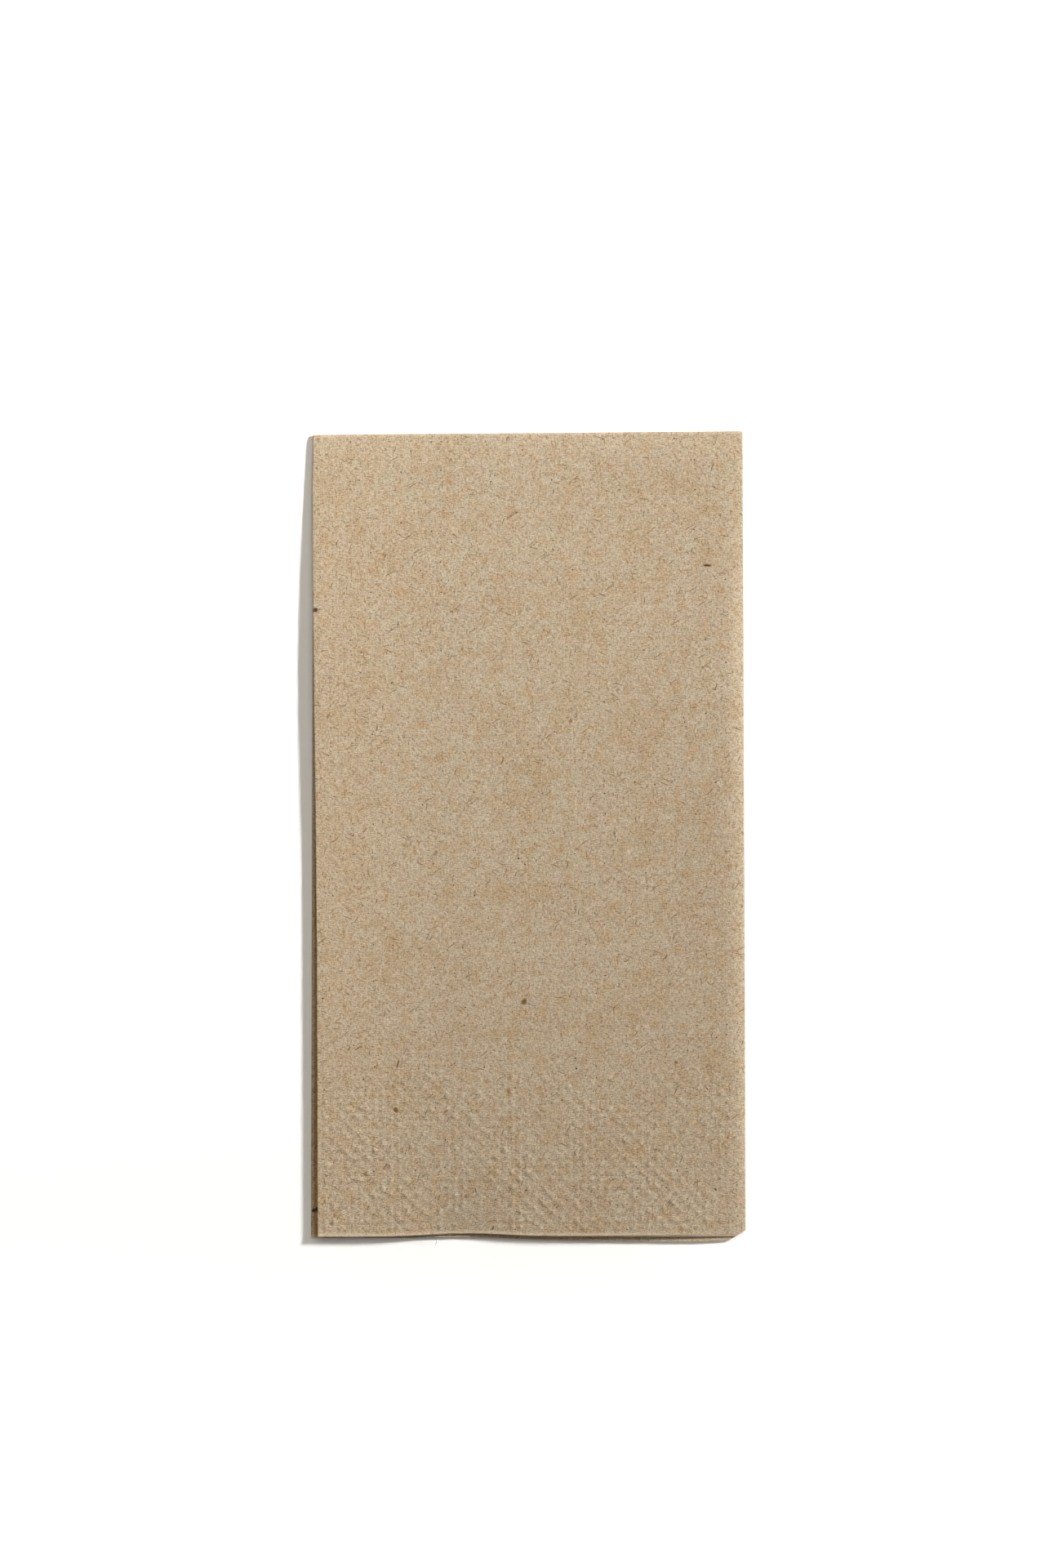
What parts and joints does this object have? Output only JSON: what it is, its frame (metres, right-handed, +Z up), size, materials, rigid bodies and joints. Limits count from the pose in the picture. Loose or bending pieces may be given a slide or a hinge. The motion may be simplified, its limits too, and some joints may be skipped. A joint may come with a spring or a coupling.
{
  "type": "paper napkin",
  "caption": "Flat rectangular dinner napkin of unbleached brown creped paper, folded lengthwise and across into an oblong pad, for wiping hands and mouth at table.",
  "frame": {"origin": "middle of the folded napkin's box, on the surface it lies on", "axes": "+Y along the long sides towards the cross fold, +X towards the rounded long fold, +Z up from the table"},
  "size_m": [0.1034, 0.1916, 0.0032],
  "materials": {
    "paper": "matt creped tissue, unbleached brown, embossed with dots along the open end"
  },
  "bodies": {
    "root": {"napkin": "paper"}
  },
  "joints": []
}
